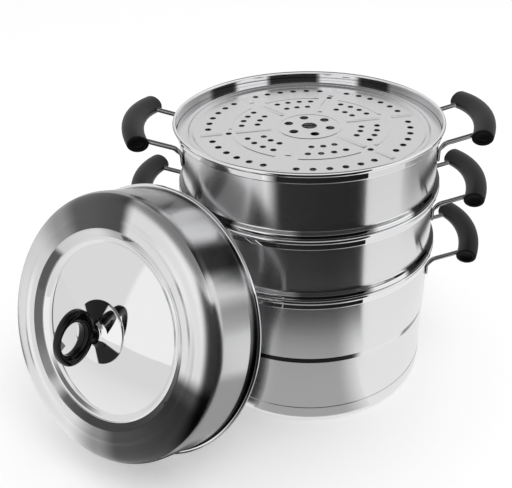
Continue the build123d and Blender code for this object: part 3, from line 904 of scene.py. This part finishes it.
@dataclass
class Handle:
    """Bent wire with flattened feet, and the curved grip round it.

    Grip ends are rows of the depth from the end and the share of the full section there, from the
    middle of the recess's floor to where the rounded edge meets the grip's side.
    """

    level: Level
    side: Side
    finishes: dict[str, Material]
    wall_radius: float = Rim.wall_radius
    wire_radius: float = 2.6
    wire_spread: float = 44.0
    start_reach: float = 160.0
    start_drop: float = 12.1
    rise: float = 17.0
    back_reach: float = 24.0
    wire_bend: float = 9.0
    foot_bend: float = 10.0
    foot_length: float = 15.0
    foot_width: float = 9.0
    foot_thickness: float = 2.8
    foot_drop: float = 38.6
    flat_start: float = 1.25
    flat_run: float = 0.5
    least_tip: float = 1e-4
    tip_power: float = 0.4
    lean_up: float = 0.4
    wire_spokes: int = 24
    end_reach: float = 17.0
    bulge: float = 12.8
    half_length: float = 57.5
    depth: float = 23.2
    height: float = 18.2
    squareness: float = 2.0
    rings: int = 56
    spokes: int = 48
    grip_end: tuple[tuple[float, float], ...] = (
        (4.0, 0.0), (4.0, 0.60), (3.6, 0.64), (0.6, 0.66), (0.15, 0.68), (0.0, 0.71), (0.0, 0.89),
        (0.16, 0.945), (0.55, 0.98), (1.0, 0.995), (1.4, 1.0),
    )

    def build(self) -> None:
        """Build the wire and the grip."""
        body = self.level.value
        rim_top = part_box("pot_body" if self.level is Level.POT else body)[1].z / MM
        start = f"{body}_{self.side.name.lower()}"
        wire = mesh_piece(f"steel_{start}_wire", self.wire_grid(rim_top), False, True)
        Duty(f"{start}_wire", body, "wire").give(wire, self.finishes, ("polished_wire",))
        grip = mesh_piece(f"moulded_{start}_grip", self.grip_grid(rim_top), False, True, 50.0)
        Duty(f"{start}_grip", body, "grip").give(grip, self.finishes, ("black_grip",))

    def frame(self, rim_top: float) -> Frame:
        """Frame of the handle: X outwards and up, Y along the grip, origin over the wire's start."""
        slope = radians(self.rise)
        out = np.array([self.side.value * cos(slope), 0.0, sin(slope)])
        along = np.array([0.0, 1.0, 0.0])
        origin = np.array([self.side.value * self.start_reach, 0.0, rim_top - self.start_drop])
        return Frame(origin, out, along, np.cross(out, along))

    def wire_grid(self, rim_top: float) -> np.ndarray:
        """Surface of the wire.

        The section is an oval carried along the rounded route. Near either end it turns from round
        to flat, moves in to lie on the wall, and closes in a half-round tip.

        Args:
            rim_top: Height of the vessel's rim.

        Returns:
            A grid of points, one row for each section.
        """
        foot_reach = sqrt((self.wall_radius + self.foot_thickness) ** 2 - self.wire_spread**2)
        drop = self.start_drop + (self.start_reach - foot_reach) * tan(radians(self.rise))
        foot = self.side.value * foot_reach
        front = np.array([
            [foot, -self.wire_spread, rim_top - self.foot_drop],
            [foot, -self.wire_spread, rim_top - drop],
            self.frame(rim_top).place(np.array([self.back_reach, -self.wire_spread, 0.0])),
        ])
        back = front[::-1] * np.array([1.0, -1.0, 1.0])
        bends = [self.foot_bend, self.wire_bend, self.wire_bend, self.foot_bend]
        route = rounded(np.concatenate([front, back]), bends, 10)
        travel = np.concatenate([[0.0], np.cumsum(np.linalg.norm(np.diff(route, axis=0), axis=1))])
        tips = self.foot_length * (1 - np.cos(np.linspace(0, pi / 2, 14)))
        stops = np.unique(np.concatenate([travel, tips, travel[-1] - tips]))
        spine = np.stack([np.interp(stops, travel, route[:, axis]) for axis in range(3)], axis=1)
        tangent = unit(np.gradient(spine, stops, axis=0))
        inward = unit(-spine * np.array([1.0, 1.0, 0.0]))
        lean = inward + np.array([0.0, 0.0, self.lean_up])
        normal = unit(lean - (lean * tangent).sum(axis=1, keepdims=True) * tangent)
        to_end = np.minimum(stops, stops[-1] - stops)
        share = np.clip((self.flat_start - to_end / self.foot_length) / self.flat_run, 0, 1)
        flat = share * share * (3 - 2 * share)
        past_tip = np.clip(to_end / (self.foot_width / 2), 0, 1)
        tip = np.maximum(np.sqrt(np.clip(1 - (1 - past_tip) ** 2, 0, 1)), self.least_tip)
        tip = np.where(to_end <= 0, 0.0, tip)
        radius = self.wire_radius
        thick = (radius + flat * (self.foot_thickness / 2 - radius)) * tip**self.tip_power
        wide = (radius + flat * (self.foot_width / 2 - radius)) * tip
        spoke = np.linspace(0, 2 * pi, self.wire_spokes, endpoint=False)
        return carried(
            spine + inward * (flat * self.foot_thickness / 2)[:, None],
            (np.outer(thick, np.cos(spoke)), normal),
            (np.outer(wide, np.sin(spoke)), np.cross(tangent, normal)),
        )

    def grip_grid(self, rim_top: float) -> np.ndarray:
        """Surface of the grip.

        A squared oval, with |x|^n + |y|^n = 1, is carried along an arc through the two ends and the
        bulge. Past each end of the arc the rings shrink over a rounded edge, cross the flat end and
        drop into an oval recess, whose floor closes in its middle.

        Args:
            rim_top: Height of the vessel's rim.

        Returns:
            A grid of points, one row for each ring.
        """
        radius = (self.bulge**2 + self.half_length**2) / (2 * self.bulge)
        span = asin(self.half_length / radius)
        depths, sizes = np.array(self.grip_end).T
        inset = depths / radius
        middle = (span - 2 * inset[-1]) * np.linspace(-1, 1, self.rings)
        angle = np.concatenate([-span + inset, middle, (span - inset)[::-1]])
        size = np.concatenate([sizes, np.ones(self.rings), sizes[::-1]])
        out = np.stack([np.cos(angle), np.sin(angle), 0 * angle], axis=1)
        spine = radius * out + np.array([self.end_reach + self.bulge - radius, 0.0, 0.0])
        spoke = np.linspace(0, 2 * pi, self.spokes, endpoint=False)
        wide = self.depth / 2 * bent(np.cos(spoke), 2 / self.squareness)
        tall = self.height / 2 * bent(np.sin(spoke), 2 / self.squareness)
        local = carried(spine, (np.outer(size, wide), out), (np.outer(size, tall), np.eye(3)[2:]))
        return self.frame(rim_top).place(local)


# Lid and knob


@dataclass
class Lid:
    """Deep domed lid, its knob plate and its loop knob, about the leaning axis."""

    finishes: dict[str, Material]
    frame: Frame
    sheet: float = 0.8
    rim_radius: float = 147.0
    bead_radius: float = 2.5
    bead_start: float = -202.0
    wall_foot_radius: float = 142.2
    wall_top_radius: float = 139.6
    shoulder_height: float = 67.5
    shoulder_bend: float = 15.0
    ring_radius: float = 113.8
    ring_rise: float = 1.2
    ring_width: float = 4.0
    ring_end: float = 0.55
    recess_radius: float = 102.0
    recess_edge_height: float = 67.6
    recess_margin: float = 1.0
    groove_radius: float = 95.0
    groove_depth: float = 4.4
    ridge_radius: float = 92.4
    ridge_rise: float = 1.4
    dome_radius: float = 87.6
    dome_edge_height: float = 60.6
    dome_height: float = 73.5
    dome_run: float = 3.0
    dome_start: float = 4.0
    bend: float = 1.4
    foot_height: float = 13.0
    plate_radius: float = 32.5
    plate_gap: float = 0.3
    plate_lip: float = 1.6
    plate_waist_radius: float = 13.5
    plate_waist_rise: float = 5.0
    plate_top_radius: float = 11.0
    plate_rise: float = 8.6
    plate_flare_bend: float = 8.0
    plate_bend: float = 0.5
    boss_radius: float = 9.6
    boss_height: float = 1.2
    boss_taper: float = 1.2
    boss_bend: float = 0.8
    boss_overlap: float = 6.0
    loop_width: float = 58.0
    loop_height: float = 43.0
    hole_width: float = 34.0
    hole_height: float = 27.0
    hole_shift: float = 3.8
    hole_power: float = 0.8
    swell_power: float = 0.62
    loop_foot_thickness: float = 15.0
    loop_top_thickness: float = 8.6

    def dome_points(self, radii: np.ndarray, depth: float) -> np.ndarray:
        """Points on the dome at a depth under its outside, by radius."""
        rise = self.dome_height - self.dome_edge_height
        arc = (self.dome_radius**2 + rise**2) / (2 * rise)
        height = self.dome_height - arc + np.sqrt((arc - depth) ** 2 - radii**2)
        return np.stack([radii, height], axis=1)

    def build(self) -> None:
        """Build the shell, the knob plate and the knob, and dress the screw and washer."""
        self.shell()
        self.knob_plate()
        self.knob()
        for node in ("knob_screw", "knob_washer"):
            dress_node(node, self.finishes["plain_steel"])

    def shell(self) -> None:
        """Build the shell, from the rolled edge up the skirt and over to the dome."""
        groove = self.recess_edge_height - self.groove_depth
        corners = [
            (self.wall_foot_radius, self.bead_radius),
            (self.wall_top_radius, self.shoulder_height),
            (self.ring_radius + self.ring_width, self.shoulder_height),
            (self.ring_radius, self.shoulder_height + self.ring_rise),
            (self.ring_radius - self.ring_width, self.recess_edge_height),
            (self.recess_radius, self.recess_edge_height),
            (self.groove_radius, groove),
            (self.ridge_radius, groove + self.ridge_rise),
            (self.dome_radius, self.dome_edge_height),
            *self.dome_points(np.array([self.dome_radius - self.dome_run]), 0.0),
        ]
        bends = [self.shoulder_bend] + [self.bend] * 7
        near, far = sheet_faces(corners, bends, self.sheet, 12)
        radii = np.linspace(self.dome_radius - self.dome_start, 0.0, 40)
        width = 2 * self.bead_radius
        bead_axis = self.rim_radius - self.bead_radius
        leave = np.degrees(np.arccos((self.wall_foot_radius - bead_axis) / self.bead_radius))
        bead = oval((width, width), (bead_axis, self.bead_radius), (self.bead_start, leave), 34)
        outside, inside = self.dome_points(radii, 0.0), self.dome_points(radii[::-1], self.sheet)
        # The bead and the dome take the place of the sheet's first and last two points.
        outline = np.concatenate([bead, near[2:-2], outside, inside, far[2:-2][::-1]])
        surface = self.frame.turn(split_at(outline, self.foot_height), 240)
        shell = mesh_piece("steel_lid", surface, True, True)
        up, across, height = ((face_middles(shell) - self.frame.origin) @ self.frame.rows().T).T
        radius = np.hypot(up, across)
        zones = [
            (height < width) | (radius < self.groove_radius),
            radius < self.recess_radius + self.recess_margin,
            height > self.shoulder_height - self.ring_end * self.shoulder_bend,
            height < self.foot_height,
        ]
        # Every zone but the mirror dome carries painted sheen: bands of reflection painted into its colour
        # round the lid's axis.
        names = ("satin_skirt", "mirror_dome", "polished_recess", "brushed_ring", "satin_foot")
        choice = np.select(zones, [1, 2, 3, 4], 0)
        Duty("lid_shell", "lid", "lid_steel").give(shell, self.finishes, names, choice)

    def knob_plate(self) -> None:
        """Build the flared plate under the knob."""
        foot = self.dome_points(np.array([self.plate_radius]), 0.0)[0, 1] + self.plate_gap
        seat = self.dome_height + self.plate_rise
        points = [
            (self.plate_radius, foot),
            (self.plate_radius, foot + self.plate_lip),
            (self.plate_waist_radius, self.dome_height + self.plate_waist_rise),
            (self.plate_top_radius, seat),
            (0.0, seat),
        ]
        bends = [self.plate_bend, self.plate_flare_bend, self.plate_bend]
        near, far = sheet_faces(points, bends, self.sheet, 12)
        surface = self.frame.turn(np.concatenate([near, far[::-1]]), 120)
        plate = mesh_piece("chrome_knob_plate", surface, True, True)
        # The chrome carries painted sheen: black and white bands of reflection painted into its colour.
        Duty("knob_plate", "lid", "knob_chrome").give(plate, self.finishes, ("knob_chrome",))

    def knob(self) -> None:
        """Build the knob: a loop whose section changes round its hole, on a short boss.

        Round the loop, a section runs from the hole's oval to the outer oval. Across it, a point at
        angle t lies between the two at (1 + cos t) / 2, bent so that the hole's side is flat and the
        outer side round. Its thickness follows sin t, and shrinks evenly from the loop's foot to its
        top.
        """
        seat = self.dome_height + self.plate_rise
        foot = seat + self.boss_height
        middle = foot + self.loop_height / 2
        around = np.linspace(0, 2 * pi, 96, endpoint=False)[:, None]
        spoke = np.linspace(0, 2 * pi, 40, endpoint=False)[None, :]
        share = 0.5 + 0.5 * bent(np.cos(spoke), self.hole_power)
        outer_x, outer_h = self.loop_width / 2 * np.cos(around), self.loop_height / 2 * np.sin(around)
        hole_x = self.hole_width / 2 * np.cos(around)
        hole_h = self.hole_shift + self.hole_height / 2 * np.sin(around)
        x = hole_x + (outer_x - hole_x) * share
        height = middle + hole_h + (outer_h - hole_h) * share
        thinning = (self.loop_top_thickness - self.loop_foot_thickness) * (height - foot) / self.loop_height
        swell = (self.loop_foot_thickness + thinning) / 2 * bent(np.sin(spoke), self.swell_power)
        surface = self.frame.place(np.stack([x, swell, height], axis=-1))
        loop = mesh_piece("glossy_loop_knob", surface, True, True, 60.0)
        top, wide = foot + self.boss_overlap, self.boss_radius
        points = [(0.0, seat), (wide, seat), (wide - self.boss_taper, top), (0.0, top)]
        outline = rounded(points, [self.boss_bend] * 2)
        boss = mesh_piece("knob_boss", self.frame.turn(outline, 72), True, True)
        union = loop.modifiers.new("boss", "BOOLEAN")
        union.operation = "UNION"
        union.object = boss
        apply_modifiers(loop)
        bpy.data.objects.remove(boss)
        Duty("knob", "lid", "knob_black").give(loop, self.finishes, ("glossy_knob",))


def apply_modifiers(piece: Object) -> None:
    """Keep a piece's evaluated shape as its own mesh, with no modifiers left."""
    bpy.context.view_layer.update()
    shape = piece.evaluated_get(bpy.context.evaluated_depsgraph_get())
    mesh = bpy.data.meshes.new_from_object(shape)
    piece.modifiers.clear()
    piece.data = mesh


def lid_frame(joints: list[dict]) -> Frame:
    """Frame of the lid's rim, from the lid's slide joint and the lid's box.

    The rolled edge is a ring that lies on the rim's plane. Along a direction that has the share s of
    the axis in it, the ring reaches edge * (1 + s) + (rim - edge) * sqrt(1 - s * s) from the rim's
    middle. Nothing of the lid reaches further towards the stack or down, so the box ends there.

    Args:
        joints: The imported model's joints.

    Returns:
        The frame, with X up the slope and Z along the lid's axis, away from the stack.
    """
    edge, rim = Lid.bead_radius, Lid.rim_radius
    joint = next(joint for joint in joints if joint["name"] == "lid_lift")
    axis = unit(np.array(joint["axis"], float))
    up = unit(np.array([0.0, 0.0, 1.0]) - axis * axis[2])
    sign = np.array([1.0, 1.0, -1.0])
    share = sign * axis
    low, high = (np.array(corner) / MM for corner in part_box("lid_shell"))
    reach = edge * (1 + share) + (rim - edge) * np.sqrt(1 - share * share)
    centre = np.where(sign > 0, high, low) - sign * reach
    LOG.info("lid's middle at %s", np.round(centre, 3))
    return Frame(centre, up, np.cross(axis, up), axis)


# Stage


@dataclass
class Studio:
    """Floor, reflecting cards, key lamp, world and camera."""

    floor_size: float = 6.0
    floor_color: tuple[float, ...] = (0.86, 0.86, 0.86, 1.0)
    floor_roughness: float = 0.8
    floor_glow: float = 0.24
    floor_reach: tuple[float, float] = (0.25, 0.8)
    floor_tones: tuple[float, float] = (0.92, 0.76)
    room_tone: float = 0.85
    sky_tones: tuple[float, float] = (0.78, 0.95)
    sky_blend: float = 0.02
    sky_edge: float = 23.0
    zenith_rise: tuple[float, float] = (0.6, 0.85)
    zenith_tone: float = 0.18
    card_steps: int = 24
    lamp_place: tuple[float, float, float] = (0.5, -0.5, 1.7)
    lamp_target: tuple[float, float, float] = (0.0, 0.0, 0.15)
    lamp_size: tuple[float, float] = (1.0, 0.8)
    lamp_power: float = 5.0
    camera_place: tuple[float, float, float] = (-0.0335, -0.7380, 0.6096)
    camera_turn: tuple[float, float, float] = (57.01, 0.0, -2.6)
    lens: float = 50.36
    sensor: float = 36.0
    near_clip: float = 0.01
    shift: tuple[float, float] = (-0.1042, 0.0357)

    def build(self) -> None:
        """Build the whole stage."""
        self.floor()
        self.cards()
        self.key_lamp()
        self.world()
        self.camera()

    def floor(self) -> None:
        """Lay a pale floor: white to the camera, light grey in reflections and paler near the stack."""
        mesh = bpy.data.meshes.new("studio_floor")
        half = self.floor_size / 2
        corners = [(-half, -half, 0), (half, -half, 0), (half, half, 0), (-half, half, 0)]
        mesh.from_pydata(corners, [], [(0, 1, 2, 3)])
        floor = add_object("studio_floor", mesh)
        material, tree, shader = start_material("pale_floor")
        path = new_node(tree, "LightPath").outputs
        place = new_node(tree, "TexCoord").outputs["Object"]
        reach = vector_node(tree, "LENGTH", place)["Value"]
        near = map_range(tree, reach, (*self.floor_reach, *self.floor_tones))
        shown = math_node(tree, "MULTIPLY", path["Is Camera Ray"], self.floor_glow)
        look = {
            "Base Color": mix_node(tree, path["Is Glossy Ray"], self.floor_color, BLACK, data_type="RGBA"),
            "Roughness": self.floor_roughness,
            "Specular IOR Level": 0.0,
            "Emission Color": WHITE,
            "Emission Strength": math_node(tree, "MULTIPLY_ADD", path["Is Glossy Ray"], near, shown),
        }
        fill(tree, shader, look)
        mesh.materials.append(material)

    def card(self, name: str, bearings: tuple, distances: tuple, heights: tuple, tones: tuple) -> None:
        """Put up a curved card round the stack that only reflections see.

        Args:
            name: Name of the card.
            bearings: First and last bearing from the stack's axis, in degrees from the X axis.
            distances: Distance of the lower and of the upper edge from the axis, in metres.
            heights: Height of the lower and of the upper edge, in metres.
            tones: Share of the way along and brightness, for each stop.
        """
        angle = np.radians(np.linspace(*bearings, self.card_steps))
        ring = np.stack([np.cos(angle), np.sin(angle), 0 * angle], axis=1)
        edges = [ring * far + np.array([0.0, 0.0, high]) for far, high in zip(distances, heights)]
        card = mesh_piece(name, np.stack(edges) / MM, False, False)
        material, tree, shader = start_material(name)
        look = {
            "Base Color": BLACK,
            "Specular IOR Level": 0.0,
            "Emission Color": WHITE,
            "Emission Strength": tone_ramp(tree, map_share(tree, "Y"), tones),
        }
        fill(tree, shader, look)
        card.data.materials.append(material)
        for ray in ("camera", "diffuse", "shadow", "transmission"):
            setattr(card, f"visible_{ray}", False)

    def cards(self) -> None:
        """Put up the dark cards that give the steel its bands."""
        dark = ((0.0, 0.95), (0.15, 0.02), (0.97, 0.01), (1.0, 0.01))
        shade = ((0.0, 0.5), (0.15, 0.04), (0.85, 0.04), (1.0, 0.4))
        faint = ((0.0, 0.5), (0.3, 0.3), (0.7, 0.35), (1.0, 0.6))
        left = ((0.0, 0.3), (0.2, 0.05), (0.8, 0.05), (1.0, 0.2))
        soft = ((0.0, 0.5), (0.1, 0.42), (0.72, 0.42), (1.0, 0.86))
        self.card("front_card", (237.0, 306.0), (0.31, 0.34), (0.0, 0.36), dark)
        self.card("floor_card", (238.0, 300.0), (0.143, 0.31), (0.001, 0.001), soft)
        # Painted shadow: a dark sheet on the floor under the leaning lid, where its shadow falls, since the
        # floor that reflections see is a glow with no shadow.
        self.card("lid_shade", (190.0, 240.0), (0.15, 0.30), (0.002, 0.002), shade)
        self.card("left_card", (150.0, 190.0), (0.42, 0.62), (0.001, 0.001), left)
        self.card("right_card", (345.0, 385.0), (0.60, 0.60), (0.0, 0.25), faint)

    def key_lamp(self) -> None:
        """Hang a soft rectangular lamp that reflections don't show."""
        light = bpy.data.lights.new("key_lamp", "AREA")
        light.shape = "RECTANGLE"
        light.size, light.size_y = self.lamp_size
        light.energy = self.lamp_power
        lamp = add_object("key_lamp", light)
        lamp.location = self.lamp_place
        lamp.visible_glossy = False
        aim = Vector(self.lamp_target) - Vector(self.lamp_place)
        lamp.rotation_euler = aim.to_track_quat("-Z", "Y").to_euler()

    def world(self) -> None:
        """Light the scene evenly, with a white background and another sky in reflections.

        The sky of the reflections has a pale half and a greyer half, on either side of an upright
        plane through the origin, and both darken towards the zenith.
        """
        world = bpy.data.worlds.new("studio")
        bpy.context.scene.world = world
        world.use_nodes = True
        tree = world.node_tree
        place = new_node(tree, "TexCoord").outputs["Generated"]
        bearing = radians(self.sky_edge)
        across = vector_node(tree, "DOT_PRODUCT", place, (sin(bearing), -cos(bearing), 0.0))["Value"]
        halves = map_range(tree, across, (-self.sky_blend, self.sky_blend, *self.sky_tones), "LINEAR")
        height = new_node(tree, "SeparateXYZ", {"Vector": place}).outputs["Z"]
        high = map_range(tree, height, (*self.zenith_rise, 0.0, 1.0))
        sky = mix_node(tree, high, halves, self.zenith_tone)
        path = new_node(tree, "LightPath").outputs
        room = mix_node(tree, path["Is Glossy Ray"], self.room_tone, sky)
        strength = mix_node(tree, path["Is Camera Ray"], room, 1.0)
        fill(tree, tree.nodes["Background"], {"Color": WHITE, "Strength": strength})

    def camera(self) -> None:
        """Set up the camera at the photograph's view."""
        lens = bpy.data.cameras.new("photo_camera")
        lens.lens = self.lens
        lens.sensor_width = self.sensor
        lens.shift_x, lens.shift_y = self.shift
        lens.clip_start = self.near_clip
        camera = add_object("photo_camera", lens)
        camera.location = self.camera_place
        camera.rotation_euler = [radians(angle) for angle in self.camera_turn]
        bpy.context.scene.camera = camera
        bpy.context.scene.view_settings.view_transform = "Standard"


def main() -> None:
    """Build every sub-assembly in order."""
    logging.basicConfig(level=logging.INFO, format="%(message)s")
    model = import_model()
    frame = lid_frame(model["joints"])
    finishes = make_finishes(frame)
    Pot(finishes).build()
    for level in (Level.MIDDLE, Level.TOP):
        Tier(level, finishes).build()
    for node in ("lower_plate", "middle_plate", "top_plate"):
        SteamPlate(node, finishes).build()
    for level in Level:
        for side in Side:
            Handle(level, side, finishes).build()
    Lid(finishes, frame).build()
    Studio().build()


if __name__ == "__main__":
    main()
